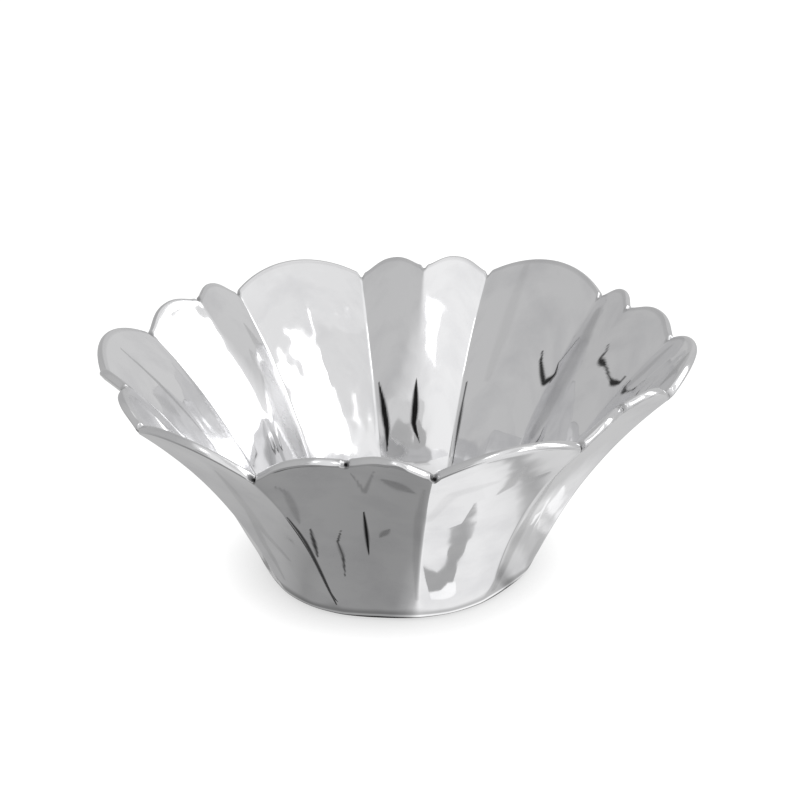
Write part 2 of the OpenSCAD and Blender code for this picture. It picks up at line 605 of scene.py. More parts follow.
    def lip_height(self, petal: np.ndarray, share: np.ndarray) -> np.ndarray:
        """Gives the height of the outer lip edge: the scallop, less the nick beside a joint.

        Args:
            petal: Petal numbers.
            share: Shares of the petals' widths.

        Returns:
            Heights above the foot.
        """
        numbers = np.arange(self.joints)
        split = np.where(numbers % 3 == Petal.AFTER_SPLIT.value, self.split_rise, 0)
        joints = self.joint_h + np.array(self.lift_shares) * self.wide_rise + split
        base = mix(joints[petal], joints[(petal + 1) % self.joints], share)
        across = np.minimum(share, 1 - share) * np.radians(self.spans(petal)) * self.rim_r
        nick = self.nick_depth * np.maximum(0, 1 - (across / self.nick_r) ** 2) ** 2
        away = np.abs(2 * share - 1)
        wide = self.wide_rise * (1 - away ** self.wide_power)
        narrow = self.narrow_rise * (1 - away ** self.narrow_power) ** self.narrow_soft_power
        return base - nick + np.where(petal % 3 == Petal.WIDE.value, wide, narrow)


@dataclass(frozen=True)
class DentAndPaintedReflection:
    """A shallow dent, a painted dark reflection or both, wider at its middle than at its ends.

    It lies on one side of the wall; its path is a row of azimuths and heights above the floor.
    """

    path: Pairs
    width: float
    depth: float
    # Share of near black painted along the path: a painted dark reflection.
    painted_shade: float = 0.0
    end_share: float = 0.25

    def shape(self, grid: np.ndarray) -> np.ndarray:
        """Gives the mark's strength at each point.

        Args:
            grid: Points of one side of the wall, as rows by columns by three.

        Returns:
            Shares from 0 away from the mark to 1 along its path.
        """
        azimuth = np.degrees(np.arctan2(grid[..., 1], grid[..., 0]))
        radius = np.hypot(grid[..., 0], grid[..., 1])
        corners = []
        for turn, height in self.path:
            off = np.hypot(radius * np.radians((azimuth - turn + 180) % 360 - 180), grid[..., 2] - height)
            corners.append(grid[np.unravel_index(np.argmin(off), off.shape)])
        lengths = [np.linalg.norm(end - start) for start, end in zip(corners, corners[1:])]
        strength = np.zeros(azimuth.shape)
        passed = 0
        for start, end, length in zip(corners, corners[1:], lengths):
            along = np.clip((grid - start) @ (end - start) / length ** 2, 0, 1)
            away = np.linalg.norm(grid - start - along[..., None] * (end - start), axis=2)
            share = (passed + along * length) / sum(lengths)
            width = self.width * mix(self.end_share, 1, np.sin(math.pi * share))
            strength = np.maximum(strength, np.exp(-(away / width) ** 2))
            passed += length
        return strength


@dataclass
class BowlCasting:
    """The bowl itself: foot, floor, fluted wall and scalloped lip in one skin of quads."""

    NODE = "bowl_casting"
    GRAIN = "grain"
    # Mesh attribute with the share of painted shade and painted dark reflection at each point.
    PAINTED_SHADE_ATTRIBUTE = "painted_shade_and_reflection"

    wall: PetalWall = field(default_factory=PetalWall)
    room: tuple[Vector, Vector] | None = None
    pad_h: float = 0.001
    floor_t: float = 0.0046
    hollow_depth: float = 0.0018
    ring_w: float = 0.013
    foot_round: float = 0.0016
    foot_rise: float = 0.0045
    hollow_round: float = 0.0006
    floor_round: float = 0.017
    nick_columns: int = 7
    wide_columns: int = 60
    narrow_columns: int = 30
    outer_rows: int = 125
    inner_rows: int = 115
    lip_rows: int = 14
    round_rows: int = 14
    foot_rows: int = 9
    floor_rings: int = 12
    wave_size: tuple[float, float] = (0.013, 0.045)
    wave_detail: float = 0.4
    wave_detail_scale: float = 2.3
    wave_shift: float = 7.0
    outer_wave_height: float = 0.00007
    inner_wave_height: float = 0.00012
    fade_rows: int = 4
    # Painted dark reflections along the marks, and painted shade in the nicks of the lip.
    painted_shade_range: tuple[float, float] = (0.25, 0.75)
    nick_shade_reach: float = 0.0017
    nick_shade_row_share: float = 0.35
    # A darker ring of painted shade round each nick on the lip's crown.
    halo_shade_reach: float = 0.0045
    halo_shade_share: float = 0.42
    # An even share over the lip that darkens it as painted shade and also roughens it.
    lip_dullness_and_shade: float = 0.12
    # Marks on the outside: each presses into the wall by its depth and paints a dark reflection by its
    # share of near black.
    outer_dents_and_painted_reflections: tuple[DentAndPaintedReflection, ...] = (
        DentAndPaintedReflection(((-106.8, 0.0985), (-105.4, 0.094), (-105.7, 0.087), (-106.9, 0.070)), 0.0024, 0.00009,
             0.22),
        DentAndPaintedReflection(((-108.9, 0.074), (-108.3, 0.064), (-107.9, 0.055), (-107.6, 0.040), (-107.2, 0.024),
              (-106.4, 0.009)), 0.0012, 0.0, 0.85, 0.4),
        DentAndPaintedReflection(((-105.3, 0.065), (-106.2, 0.045)), 0.0012, 0.00012, 0.85),
        DentAndPaintedReflection(((-97.2, 0.064), (-98.9, 0.056), (-98.7, 0.046), (-99.9, 0.031)), 0.0009, 0.00012, 0.8),
        DentAndPaintedReflection(((-89.5, 0.079), (-90.5, 0.048)), 0.0013, 0.0002, 1.0),
        DentAndPaintedReflection(((-86.4, 0.061), (-83.8, 0.067)), 0.0021, 0.00012, 0.4),
        DentAndPaintedReflection(((-90.3, 0.110), (-88.4, 0.095), (-85.4, 0.113)), 0.0012, 0.00005, 0.3),
        DentAndPaintedReflection(((-84.0, 0.107), (-81.0, 0.103), (-78.2, 0.099)), 0.0048, 0.00012, 0.3),
        DentAndPaintedReflection(((-76.4, 0.103), (-76.9, 0.077), (-76.3, 0.046), (-75.2, 0.016)), 0.0022, 0.0, 0.16, 0.5),
        DentAndPaintedReflection(((-58.9, 0.089), (-57.6, 0.095), (-57.3, 0.104), (-57.0, 0.110)), 0.0042, 0.00005, 0.32,
             0.2),
        DentAndPaintedReflection(((-57.3, 0.102), (-52.8, 0.096), (-49.9, 0.100)), 0.0028, 0.00005, 0.25, 0.3),
        DentAndPaintedReflection(((-73.8, 0.078), (-70.3, 0.096), (-61.5, 0.101)), 0.0042, 0.0, 0.08, 0.5),
        DentAndPaintedReflection(((-42.8, 0.086), (-41.2, 0.075), (-40.8, 0.059), (-40.6, 0.039), (-40.2, 0.022),
              (-41.4, 0.010)), 0.0068, 0.0, 0.28, 0.4),
        DentAndPaintedReflection(((-27.0, 0.047), (-17.0, 0.030), (-18.0, 0.012)), 0.0075, 0.0, 0.15, 0.5),
        DentAndPaintedReflection(((-121.2, 0.100), (-123.2, 0.076), (-124.1, 0.054), (-119.5, 0.035)), 0.004, 0.0, 0.15),
        DentAndPaintedReflection(((-123.2, 0.076), (-128.5, 0.043), (-129.5, 0.015)), 0.003, 0.0, 0.16),
    )
    # Marks on the inside, the same way: pressed in by their depth, painted dark reflections by their share
    # of near black.
    inner_dents_and_painted_reflections: tuple[DentAndPaintedReflection, ...] = (
        DentAndPaintedReflection(((103.6, 0.0613), (102.7, 0.0514), (101.7, 0.0382), (102.2, 0.0268)), 0.0023, 0.0, 1.0,
             0.15),
        DentAndPaintedReflection(((90.4, 0.0645), (90.6, 0.0482), (91.1, 0.0420), (89.9, 0.0372), (88.0, 0.0317)), 0.0023,
             0.0, 1.0, 0.12),
        DentAndPaintedReflection(((101.4, 0.0300), (99.4, 0.0262), (97.0, 0.0266)), 0.0068, 0.0, 0.45, 0.8),
        DentAndPaintedReflection(((73.7, 0.0626), (73.6, 0.0434), (73.4, 0.0219)), 0.001, 0.0, 0.95, 0.2),
        DentAndPaintedReflection(((66.0, 0.121), (65.5, 0.090), (66.5, 0.066)), 0.004, 0.0, 0.07, 0.5),
        DentAndPaintedReflection(((51.2, 0.0856), (50.0, 0.0802), (47.6, 0.0752), (45.7, 0.0719), (43.1, 0.0774),
              (44.4, 0.0825)), 0.002, 0.00008, 0.95, 0.2),
        DentAndPaintedReflection(((44.4, 0.0825), (41.0, 0.0967)), 0.0008, 0.0, 0.45, 0.6),
        DentAndPaintedReflection(((40.4, 0.110), (37.8, 0.099), (37.0, 0.087), (37.0, 0.061), (39.1, 0.049)), 0.008, 0.0,
             0.22, 0.5),
        DentAndPaintedReflection(((26.2, 0.1036), (25.3, 0.1003), (26.0, 0.0967), (24.4, 0.0954), (21.8, 0.0951),
              (19.2, 0.0922), (17.1, 0.0902), (14.9, 0.0913), (14.5, 0.0946)), 0.0012, 0.00008, 0.8, 0.5),
        DentAndPaintedReflection(((26.0, 0.0968), (24.8, 0.0955), (22.8, 0.0953)), 0.0027, 0.0, 0.95, 0.4),
        DentAndPaintedReflection(((18.0, 0.0910), (16.6, 0.0902), (14.9, 0.0916)), 0.0023, 0.0, 0.95, 0.4),
        DentAndPaintedReflection(((8.0, 0.117), (8.3, 0.103), (10.4, 0.091)), 0.004, 0.0, 0.18, 0.4),
        DentAndPaintedReflection(((-4.2, 0.125), (-7.7, 0.119), (-9.2, 0.112)), 0.004, 0.0, 0.3, 0.3),
        DentAndPaintedReflection(((-177.6, 0.1176), (-178.3, 0.097), (-178.8, 0.081), (-179.2, 0.066)), 0.0015, 0.0, 0.32,
             0.2),
        DentAndPaintedReflection(((165.9, 0.107), (166.1, 0.077), (166.9, 0.065), (167.8, 0.050)), 0.0036, 0.0, 0.2, 0.3),
        DentAndPaintedReflection(((-149.7, 0.115), (-146.0, 0.102)), 0.0015, 0.0, 0.3),
        DentAndPaintedReflection(((-171.8, 0.097), (-173.8, 0.084)), 0.0055, 0.0, 0.14),
        DentAndPaintedReflection(((140.4, 0.101), (138.8, 0.088), (137.0, 0.076)), 0.0032, 0.0, 0.2, 0.2),
        DentAndPaintedReflection(((143.3, 0.090), (142.7, 0.078)), 0.0032, 0.0, 0.15, 0.2),
        DentAndPaintedReflection(((140.6, 0.080), (140.8, 0.068), (140.6, 0.057), (140.4, 0.046), (139.9, 0.034)), 0.0085,
             0.0, 0.4, 0.6),
    )
    finish: PolishedCasting = field(default_factory=PolishedCasting)
    petal: np.ndarray = field(init=False)
    share: np.ndarray = field(init=False)
    lip_z: np.ndarray = field(init=False)

    def __post_init__(self) -> None:
        """Places the columns and finds the lip's height at each of them."""
        self.petal, self.share = self.columns()
        self.lip_z = self.wall.lip_height(self.petal, self.share)

    def columns(self) -> tuple[np.ndarray, np.ndarray]:
        """Places the columns of points around the bowl, closer together beside the joints.

        Returns:
            The petal of each column and the share of its width.
        """
        petals = []
        shares = []
        for petal in range(self.wall.joints):
            is_wide = petal % 3 == Petal.WIDE.value
            count = self.wide_columns if is_wide else self.narrow_columns
            span = math.radians(float(self.wall.spans(np.array(petal))))
            nick = self.wall.nick_r / self.wall.rim_r / span
            turns = [0.5 * math.pi * i / self.nick_columns for i in range(self.nick_columns)]
            beside = [nick * math.sin(turn) for turn in turns]
            between = [mix(nick, 1 - nick, i / count) for i in range(count + 1)]
            after = [1 - share for share in reversed(beside[1:])]
            row = beside + between + after
            petals += [petal] * len(row)
            shares += row
        return np.array(petals), np.array(shares)

    def place(self, radius: np.ndarray, z: np.ndarray) -> np.ndarray:
        """Turns radii and heights of the columns into points.

        Args:
            radius: Radius of each column's point.
            z: Height of each column's point above the foot.

        Returns:
            One row of points.
        """
        u = z / self.wall.joint_h
        start = self.wall.joint_azimuth(self.petal, u)
        end = self.wall.joint_azimuth(self.petal + 1, u)
        azimuth = np.radians(mix(start, end, self.share))
        return np.stack([radius * np.cos(azimuth), radius * np.sin(azimuth), self.pad_h + z], axis=-1)

    def under_rows(self) -> list[np.ndarray]:
        """Lists the rows under the foot, from the hollow's middle to the standing ring.

        Returns:
            Rows of points.
        """
        hollow_r = self.wall.foot_r * math.cos(math.radians(self.wall.half)) - self.ring_w
        level = np.zeros(len(self.petal))
        rows = []
        for ring in range(1, self.floor_rings + 1):
            rows.append(self.place(level + (hollow_r - self.hollow_round) * ring / self.floor_rings,
                                   level + self.hollow_depth))
        for turn in (30, 60, 90):
            angle = math.radians(turn)
            rows.append(self.place(level + hollow_r - self.hollow_round * (1 - math.sin(angle)),
                                   level + self.hollow_depth - self.hollow_round * (1 - math.cos(angle))))
        for turn in (0, 30, 60, 90):
            angle = math.radians(turn)
            rows.append(self.place(level + hollow_r + self.hollow_round * (1 - math.cos(angle)),
                                   level + self.hollow_round * (1 - math.sin(angle))))
        return rows

    def foot_edge_rows(self) -> list[np.ndarray]:
        """Lists the rows round the foot's outer edge.

        Returns:
            Rows of points.
        """
        rows = []
        for step in range(self.foot_rows):
            turn = 0.5 * math.pi * step / self.foot_rows
            z = np.full(len(self.petal), self.foot_rise * (1 - math.cos(turn)))
            radius = self.wall.outer_radius(self.petal, self.share, z)
            rows.append(self.place(radius - self.foot_round * (1 - math.sin(turn)), z))
        return rows

    def outside_rows(self) -> list[np.ndarray]:
        """Lists the rows up the outside of the wall.

        Returns:
            Rows of points.
        """
        rows = []
        for step in range(self.outer_rows + 1):
            z = mix(self.foot_rise, self.lip_z, step / self.outer_rows)
            rows.append(self.place(self.wall.outer_radius(self.petal, self.share, z), z))
        return rows

    def lip_arc_rows(self) -> list[np.ndarray]:
        """Lists the rows over the crowned lip.

        Returns:
            Rows of points.
        """
        wall = self.wall
        slope = wall.lean(self.petal, self.share, self.lip_z)
        length = np.hypot(1, slope)
        radius = wall.outer_radius(self.petal, self.share, self.lip_z)
        rows = []
        for step in range(1, self.lip_rows):
            t = math.pi * step / self.lip_rows
            across = wall.lip_t * (1 - math.cos(t)) / 2
            up = wall.lip_t * wall.lip_crown_share * math.sin(t)
            rows.append(self.place(radius + (up * slope - across) / length,
                                   self.lip_z + (up + across * slope) / length))
        return rows

    def inside_rows(self) -> list[np.ndarray]:
        """Lists the rows down the inside, round onto the floor and in to its middle.

        Returns:
            Rows of points.
        """
        wall = self.wall
        slope = wall.lean(self.petal, self.share, self.lip_z)
        length = np.hypot(1, slope)
        floor_z = self.hollow_depth + self.floor_t
        start = floor_z + self.floor_round
        top = self.lip_z + wall.lip_t * slope / length
        radius = wall.outer_radius(self.petal, self.share, self.lip_z) - wall.lip_t / length
        rows = [self.place(radius, top)]
        for step in range(1, self.inner_rows + 1):
            z = mix(top, start, step / self.inner_rows)
            rows.append(self.place(wall.inner_radius(self.petal, self.share, z), z))
        level = np.zeros(len(self.petal))
        high = wall.inner_radius(self.petal, self.share, level + start)
        corner = wall.inner_radius(self.petal, self.share, level + floor_z)
        low = corner - self.floor_round
        for step in range(1, self.round_rows + 1):
            t = step / self.round_rows
            radius = (1 - t) ** 2 * high + 2 * t * (1 - t) * corner + t * t * low
            rows.append(self.place(radius, level + floor_z + (1 - t) ** 2 * self.floor_round))
        for step in range(1, self.floor_rings):
            t = step / self.floor_rings
            rows.append(self.place(low * (1 - t), level + floor_z))
        return rows

    def waves(self, points: np.ndarray, skin: Skin) -> np.ndarray:
        """Gives the height of the waves that casting and hand polishing leave.

        Args:
            points: Points of some rows, as rows by columns by three.
            skin: Which side of the wall they are on.

        Returns:
            Heights in metres, never outwards of the metal's own skin.
        """
        across, along = self.wave_size
        shift = self.wave_shift * skin.value
        radius = np.hypot(points[..., 0], points[..., 1])
        heights = np.zeros(points.shape[:2])
        for i in range(points.shape[0]):
            for j in range(points.shape[1]):
                x, y, z = points[i, j]
                r = radius[i, j]
                spot = Vector((x / across, y / across, (z + r) / along + shift))
                detail = noise.noise(spot * self.wave_detail_scale)
                heights[i, j] = noise.noise(spot) + self.wave_detail * detail
        height = self.outer_wave_height if skin is Skin.OUTSIDE else self.inner_wave_height
        return (heights - heights.max()) * height

    @staticmethod
    def normals(grid: np.ndarray) -> np.ndarray:
        """Finds the outward normals of a grid of points that closes on itself sideways.

        Args:
            grid: Points as rows by columns by three.

        Returns:
            Unit normals of the same shape.
        """
        around = np.roll(grid, -1, axis=1) - np.roll(grid, 1, axis=1)
        along = np.gradient(grid, axis=0)
        normal = np.cross(around, along)
        return normal / np.maximum(np.linalg.norm(normal, axis=2, keepdims=True), 1e-12)

    def build(self) -> bpy.types.Object:
        """Builds the mesh of the casting.

        Returns:
            The bowl's object.
        """
        parts = [self.under_rows() + self.foot_edge_rows(), self.outside_rows(), self.lip_arc_rows(),
                 self.inside_rows()]
        first, last, inner, end = np.cumsum([len(part) for part in parts])
        grid = np.array(sum(parts, []))
        outside = slice(first, last)
        inside = slice(inner, end)
        heights = np.zeros(grid.shape[:2])
        # Painted shade in and round the nicks and over the lip.
        painted_shade_and_reflection = self.painted_lip_shade(grid, last, inner)
        for side, skin, dents_and_paint in ((outside, Skin.OUTSIDE, self.outer_dents_and_painted_reflections),
                                  (inside, Skin.INSIDE, self.inner_dents_and_painted_reflections)):
            fade = np.clip(np.arange(side.stop - side.start) / self.fade_rows, 0, 1)
            heights[side] = self.waves(grid[side], skin) * fade[:, None]
            for dent_and_paint in dents_and_paint:
                strength = dent_and_paint.shape(grid[side])
                heights[side] -= dent_and_paint.depth * strength
                # Painted dark reflection along the mark.
                painted_shade = np.interp(strength, self.painted_shade_range, (0, dent_and_paint.painted_shade))
                painted_shade_and_reflection[side] = np.maximum(painted_shade_and_reflection[side], painted_shade)
        points = grid + self.normals(grid) * heights[..., None]
        if self.room:
            points = np.clip(points, *self.room)
        return self.skin(points, painted_shade_and_reflection)

    def painted_lip_shade(self, grid: np.ndarray, first: int, end: int) -> np.ndarray:
        """Gives the painted shade in the nicks, round them on the lip's crown and evenly over the lip.

        Args:
            grid: Points as rows by columns by three.
            first: The lip's first row.
            end: The row after the lip's last one.

        Returns:
            Shares from 0 to 1, as rows by columns.
        """
        # Painted shade in the nick recesses.
        nicks = grid[first + round(self.nick_shade_row_share * (end - first)), self.share == 0]
        painted_shade_and_reflection = self.painted_shade_near_nicks(grid, nicks, self.nick_shade_reach)
        crown = slice(first, end + 2)
        # A darker ring of painted shade round each nick on the crown, and an even share that darkens the
        # lip as painted shade and roughens it.
        halo_shade = self.halo_shade_share * self.painted_shade_near_nicks(grid[crown], nicks, self.halo_shade_reach)
        painted_shade_and_reflection[crown] = np.maximum(painted_shade_and_reflection[crown], np.maximum(halo_shade, self.lip_dullness_and_shade))
        return painted_shade_and_reflection

    @staticmethod
    def painted_shade_near_nicks(grid: np.ndarray, nicks: np.ndarray, reach: float) -> np.ndarray:
        """Finds how much painted shade each point gets round the nicks of the lip.

        Args:
            grid: Points as rows by columns by three.
            nicks: The nicks' deepest points.
            reach: Distance at which the residue ends.

        Returns:
            Shares from 0 to 1, as rows by columns.
        """
        nearest = np.full(grid.shape[:2], 1.0)
        for nick in nicks:
            nearest = np.minimum(nearest, np.linalg.norm(grid - nick, axis=2))
        return np.interp(nearest, (0.5 * reach, reach), (1, 0))

    def skin(self, grid: np.ndarray, painted_shade_and_reflection: np.ndarray) -> bpy.types.Object:
        """Joins the grid into one closed mesh with a smooth skin.

        Args:
            grid: Points as rows by columns by three.
            painted_shade_and_reflection: Share of painted shade and painted dark reflection at each point.

        Returns:
            The mesh object.
        """
        rows, count = grid.shape[:2]
        low = Vector((0, 0, self.pad_h + self.hollow_depth))
        high = Vector((0, 0, self.pad_h + self.hollow_depth + self.floor_t))
        points = np.concatenate([grid.reshape(-1, 3), [low, high]])
        index = np.arange(rows * count).reshape(rows, count)
        a = index[:-1]
        b = np.roll(a, -1, axis=1)
        c = index[1:]
        d = np.roll(c, -1, axis=1)
        quads = np.stack([a, b, d, c], axis=-1).reshape(-1, 4)
        centre = rows * count
        bottom = [(centre, int(j), int(i)) for i, j in zip(index[0], np.roll(index[0], -1))]
        top = [(centre + 1, int(i), int(j)) for i, j in zip(index[-1], np.roll(index[-1], -1))]
        mesh = bpy.data.meshes.new(self.NODE + "_mesh")
        mesh.from_pydata(points.tolist(), [], quads.tolist() + bottom + top)
        mesh.validate()
        mesh.shade_smooth()
        self.write_grain(mesh, grid)
        # Stores the painted shade and painted dark reflection for the finish.
        painted_shade = mesh.attributes.new(self.PAINTED_SHADE_ATTRIBUTE, "FLOAT", "POINT")
        painted_shade.data.foreach_set("value", np.concatenate([painted_shade_and_reflection.ravel(), [0, 0]]).astype(np.float32))
        bowl = bpy.data.objects.new("polished_bowl", mesh)
        bpy.context.scene.collection.objects.link(bowl)
        return bowl

    def write_grain(self, mesh: bpy.types.Mesh, grid: np.ndarray) -> None:
        """Stores each point's place round the bowl and along its section, for the finish to follow.

        Args:
            mesh: The mesh.
            grid: Points as rows by columns by three.
        """
        steps = np.linalg.norm(np.diff(grid, axis=0), axis=2)
        along = np.concatenate([np.zeros((1, grid.shape[1])), np.cumsum(steps, axis=0)])
        grain = np.stack([grid[..., 0], along, grid[..., 1]], axis=-1)
        grain = np.concatenate([grain.reshape(-1, 3), np.zeros((2, 3))])
        attribute = mesh.attributes.new(self.GRAIN, "FLOAT_VECTOR", "POINT")
        attribute.data.foreach_set("vector", grain.astype(np.float32).ravel())

    def make(self) -> bpy.types.Object:
        """Builds and dresses the bowl and sets it on the frame.

        Returns:
            The bowl's object.
        """
        bowl = self.build()
        bowl.data.materials.append(self.finish.material())
        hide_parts(self.NODE)
        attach(bowl, "root")
        return bowl


@dataclass
class FootPads:
    """The four pads under the standing ring, kept from the frame with a finish of their own."""

    count: int = 4
    finish: PadRubber = field(default_factory=PadRubber)

    def make(self) -> list[bpy.types.Object]:
        """Dresses the pads.

        Returns:
            The pads' objects.
        """
        material = self.finish.material()
        pads = [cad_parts[f"foot_pad_{number}"] for number in range(1, self.count + 1)]
        for pad in pads:
            pad.data.materials.clear()
            pad.data.materials.append(material)
        return pads


@dataclass(frozen=True)
class SoftBox:
    """A flat lamp that faces the bowl, and that the polished metal mirrors.

    A lamp of one square metre shines at a radiance of 1 when it has WATTS watts.
    """

    WATTS = 4.0

    name: str
    azimuth: float
    elevation: float
    width: float
    height: float
    radiance: float
    roll: float = 0.0
    distance: float = 1.6

    def make(self, aim: Vector) -> bpy.types.Object:
        """Hangs the lamp.

        Args:
            aim: Point that the lamp faces.

        Returns:
            The lamp's object.
        """
        data = bpy.data.lights.new(self.name, "AREA")
        data.shape = "RECTANGLE"
        data.size = self.width
        data.size_y = self.height
        data.energy = self.WATTS * self.radiance * self.width * self.height
        lamp = bpy.data.objects.new(self.name, data)
        bpy.context.scene.collection.objects.link(lamp)
        lamp.matrix_world = facing(aim, self.azimuth, self.elevation, self.distance, self.roll)
        return lamp


@dataclass(frozen=True)
class Card:
    """A board round the set that glows at its tone and lights nothing, which only the polished metal sees:
    a painted reflection.
    """

    name: str
    azimuth: float
    elevation: float
    width: float
    height: float
    tone: float
    roll: float = 0.0
    cut: float = 0.0
    distance: float = 1.5

    def make(self, aim: Vector) -> bpy.types.Object:
        """Stands the card up, with its corners cut off by a share of its half width and height.

        Args:
            aim: Point that the card faces.

        Returns:
            The card's object.
        """
        x, y = self.width / 2, self.height / 2
        shares = [(1 - self.cut, -1), (1, self.cut - 1), (1, 1 - self.cut), (1 - self.cut, 1),
                  (self.cut - 1, 1), (-1, 1 - self.cut), (-1, self.cut - 1), (self.cut - 1, -1)]
        card = mirrored_shape(self.name, [(x * across, y * up, 0) for across, up in shares], self.tone)
        card.matrix_world = facing(aim, self.azimuth, self.elevation, self.distance, self.roll)
        return card


@dataclass(frozen=True)
class PaintedFloorShading:
    """A glowing patch by the foot, on the floor or just above, seen only by the metal: painted shade where
    dark, light where bright.
    """

    name: str
    corners: Pairs
    tone: float
    height: float = 0.0002

    def make(self) -> bpy.types.Object:
        """Lays the mark.

        Returns:
            The mark's object.
        """
        return mirrored_shape(self.name, [(x, y, self.height) for x, y in self.corners], self.tone)


@dataclass
class Studio:
    """White floor, a pale tent, soft boxes and the camera."""

    floor_size: float = 14.0
    floor_colour: Triple = (0.80, 0.80, 0.80)
    shaded_colour: Triple = (0.24, 0.24, 0.24)
    floor_white: Triple = (0.94, 0.94, 0.94)
    # Painted contact shadow: for the camera the white dims to contact_shade where ambient occlusion within
    # contact_reach is low.
    contact_reach: float = 0.035
    contact_range: tuple[float, float] = (0.3, 0.8)
    contact_shade: float = 0.68
    # Painted shading of the floor in the metal near the foot, by distance from the middle: shadow under the
    # foot, a bright ring at its edge, a darker band.
    painted_foot_shading: Pairs = (
        (0, 0.08), (0.0704, 0.08), (0.0713, 1.15), (0.0725, 1.15), (0.0733, 0.62), (0.0750, 0.62),
        (0.077, 1.0))
    tent_stops: Pairs = (
        (-180, 0.54), (-112, 0.56), (-92, 0.92), (-78, 0.94), (-52, 0.92), (-38, 0.82), (-16, 0.82),
        (0, 0.90), (18, 0.86), (32, 0.62), (46, 0.63), (66, 0.65), (120, 0.51), (150, 0.50), (180, 0.54))
    # Painted shading of the floor in the metal by direction: dark where the bowl's shadow falls in front,
    # bright at the right.
    painted_floor_shading: Pairs = (
        (-180, 0.50), (-160, 0.44), (-143, 0.41), (-133, 0.34), (-127, 0.29), (-118, 0.32), (-104, 0.31),
        (-92, 0.29), (-85, 0.30), (-80, 0.42), (-77, 0.58), (-73.5, 0.98), (-70, 0.90), (-45, 0.90),
        (-36, 0.86), (-31, 0.80), (-28, 0.50), (-25, 0.42), (-20, 0.66), (-13, 0.70), (-8, 0.55),
        (-3, 0.58), (8, 0.82), (15, 0.60), (60, 0.58), (150, 0.50), (180, 0.50))
    boxes: tuple[SoftBox, ...] = (
        SoftBox("front_strip", -86, 53.5, 0.21, 0.50, 1.2, -17),
        SoftBox("keel_strip", -21.2, 53.5, 0.055, 0.32, 1.2),
        SoftBox("right_box", -35.3, 36.5, 0.57, 0.71, 1.2),
        SoftBox("back_box", 8, 32.5, 0.66, 1.2, 1.2),
    )
    # Glowing boards that light nothing and only the metal sees, each a painted reflection of one tone.
    cards: tuple[Card, ...] = (
        Card("right_flag", -47.5, 44.7, 0.80, 0.37, 0.76, 56),
        Card("low_card", -107, 29, 0.50, 0.18, 0.66, distance=1.52),
        Card("front_card", -103, 21.5, 0.36, 0.35, 0.44, cut=0.4),
    )
    # Patches that only the metal sees: the wedge is a painted shadow edge, the strip a painted dark line,
    # the rest painted light on the floor.
    marks: tuple[PaintedFloorShading, ...] = (
        PaintedFloorShading("painted_shadow_wedge", ((0.071, -0.0750), (0.0635, -0.0785), (0.053, -0.077), (0.047, -0.073),
                                 (0.038, -0.0745), (0.0325, -0.0775), (0.0355, -0.0865), (0.041, -0.081),
                                 (0.0465, -0.081), (0.0515, -0.0835), (0.056, -0.0845), (0.0625, -0.0830),
                                 (0.067, -0.0790)), 0.42),
        PaintedFloorShading("painted_light_shield", ((0.026, -0.122), (0.064, -0.108), (0.062, -0.0975), (0.056, -0.1000),
                                   (0.051, -0.0985), (0.046, -0.0970), (0.038, -0.0990), (0.031, -0.1030)),
                  0.87, 0.066),
        PaintedFloorShading("painted_light_oval", ((0.121, 0.0215), (0.1185, 0.0145), (0.1145, 0.0105), (0.110, 0.006),
                                  (0.1045, 0.003), (0.099, -0.003), (0.0965, -0.004), (0.0995, 0.0045),
                                  (0.1045, 0.0055), (0.1085, 0.0135), (0.1135, 0.0165),
                                  (0.119, 0.0225)), 1.05),
        PaintedFloorShading("painted_light_patch", ((0.0325, -0.0765), (0.0385, -0.0745), (0.0435, -0.0748), (0.048, -0.072),
                                   (0.046, -0.068), (0.040, -0.0703), (0.0315, -0.0743)), 1.1, 0.0003),
        PaintedFloorShading("painted_dark_strip", ((-0.028, -0.0745), (-0.038, -0.0765), (-0.052, -0.0765), (-0.060, -0.0745),
                                 (-0.075, -0.067), (-0.066, -0.082), (-0.056, -0.086), (-0.044, -0.087),
                                 (-0.034, -0.0835), (-0.0285, -0.0790), (-0.023, -0.0750)), 0.04),
    )
    azimuth: float = -81.46
    elevation: float = 24.48
    distance: float = 0.9162
    aim_h: float = 0.060
    roll: float = 1.66
    lens: float = 78.66
    sensor: float = 36.0
    shift: tuple[float, float] = (0.0058, 0.0673)
    clip_end: float = 50.0

    @staticmethod
    def ring(nodes: Nodes, place: Socket, stops: Pairs) -> Socket:
        """Paints grey tones round the vertical axis.

        Args:
            nodes: The nodes that these belong to.
            place: Coordinates whose azimuth counts.
            stops: Pairs of azimuth and tone, from -180 to 180 degrees.

        Returns:
            The tone's socket.
        """
        parts = nodes.add("SeparateXYZ", {0: place})
        turn = nodes.math("ARCTAN2", parts.outputs["Y"], parts.outputs["X"])
        share = nodes.ramp(turn, -math.pi, math.pi, 0, 1)
        return nodes.tones(share, [((azimuth + 180) / 360, tone) for azimuth, tone in stops])

    def foot_shading_factor(self, nodes: Nodes, place: Socket) -> Socket:
        """Paints the floor's shading in the metal near the foot: painted shadow under it, a painted bright
        ring at its edge.

        Args:
            nodes: The nodes that these belong to.
            place: Coordinates on the floor.

        Returns:
            The factor's socket.
        """
        distance = nodes.add("VectorMath", {0: place})
        distance.operation = "LENGTH"
        reach = self.painted_foot_shading[-1][0]
        share = nodes.ramp(distance.outputs["Value"], 0, reach, 0, 1)
        return nodes.tones(share, [(radius / reach, tone) for radius, tone in self.painted_foot_shading])

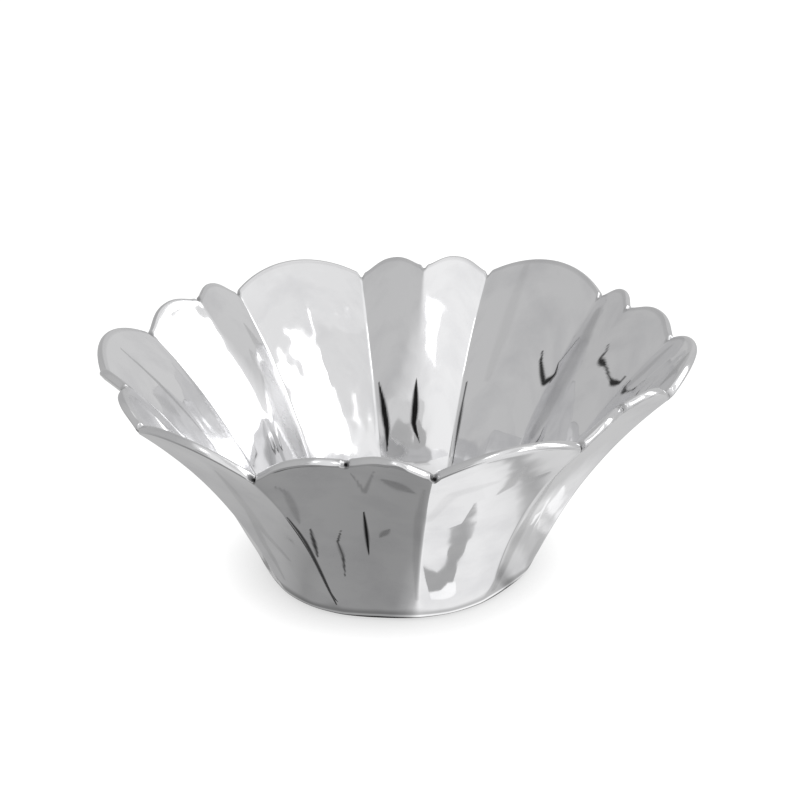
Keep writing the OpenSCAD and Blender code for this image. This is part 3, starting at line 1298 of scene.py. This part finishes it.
    def floor(self) -> bpy.types.Object:
        """Lays the floor: white with a painted contact shadow for the camera, painted grey shading by
        direction in the metal's mirror image.

        Returns:
            The floor's object.
        """
        half = self.floor_size / 2
        floor, nodes = set_shape("floor", [(-half, -half, 0), (half, -half, 0), (half, half, 0),
                                           (-half, half, 0)])
        place = nodes.add("TexCoord").outputs["Object"]
        path = nodes.add("LightPath")
        in_view = path.outputs["Is Camera Ray"]
        diffuse = nodes.add("BsdfDiffuse", {
            "Color": nodes.blend(in_view, self.floor_colour, self.shaded_colour)})
        # Painted contact shadow for the camera: the white dims where ambient occlusion finds the bowl
        # close.
        contact = nodes.add("AmbientOcclusion", {"Distance": self.contact_reach})
        open_share = nodes.ramp(contact.outputs["AO"], *self.contact_range, self.contact_shade, 1)
        share = nodes.math("MULTIPLY", in_view, open_share)
        white = nodes.add("Emission", {"Color": nodes.blend(share, (0, 0, 0), self.floor_white)})
        both = nodes.add("AddShader", {0: diffuse.outputs[0], 1: white.outputs[0]})
        # Painted shade and light on the floor as the metal sees it, by direction and by distance from the
        # foot.
        tone = nodes.blend(1, self.ring(nodes, place, self.painted_floor_shading), self.foot_shading_factor(nodes, place),
                           mode="MULTIPLY")
        painted_reflected_floor = nodes.add("Emission", {"Color": tone})
        seen = nodes.add("MixShader", {0: path.outputs["Is Glossy Ray"], 1: both.outputs[0],
                                       2: painted_reflected_floor.outputs[0]})
        nodes.add("OutputMaterial", {"Surface": seen.outputs[0]})
        return floor

    def world(self) -> None:
        """Hangs the tent: a pale room that is brighter on its lamp side, and white for the camera."""
        world = bpy.data.worlds.new("studio_tent")
        world.use_nodes = True
        nodes = Nodes(world.node_tree)
        place = nodes.add("TexCoord").outputs["Generated"]
        in_view = nodes.add("LightPath").outputs["Is Camera Ray"]
        seen = nodes.blend(in_view, self.ring(nodes, place, self.tent_stops), (1, 1, 1))
        nodes.fill(world.node_tree.nodes["Background"], {"Color": seen})
        bpy.context.scene.world = world

    def camera(self) -> bpy.types.Object:
        """Places the camera as the photograph was taken.

        Returns:
            The camera's object.
        """
        data = bpy.data.cameras.new("camera")
        data.lens = self.lens
        data.sensor_width = self.sensor
        data.shift_x, data.shift_y = self.shift
        data.clip_end = self.clip_end
        camera = bpy.data.objects.new("camera", data)
        bpy.context.scene.collection.objects.link(camera)
        camera.matrix_world = facing(Vector((0, 0, self.aim_h)), self.azimuth, self.elevation,
                                     self.distance, -self.roll)
        bpy.context.scene.camera = camera
        return camera

    def make(self) -> None:
        """Builds the whole studio."""
        self.floor()
        self.world()
        aim = Vector((0, 0, self.aim_h))
        for box in self.boxes:
            box.make(aim)
        for card in self.cards:
            card.make(aim)
        for mark in self.marks:
            mark.make()
        self.camera()
        bpy.context.scene.view_settings.view_transform = "Standard"


def main() -> None:
    """Builds the scene and reports each piece."""
    logging.basicConfig(level=logging.INFO, format="%(name)s: %(message)s")
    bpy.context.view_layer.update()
    bowl = BowlCasting(room=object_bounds()).make()
    log.info("%s: %d faces", bowl.name, len(bowl.data.polygons))
    for pad in FootPads().make():
        log.info("%s: dressed", pad.name)
    Studio().make()
    log.info("studio: floor, light and camera")


if __name__ == "__main__":
    main()
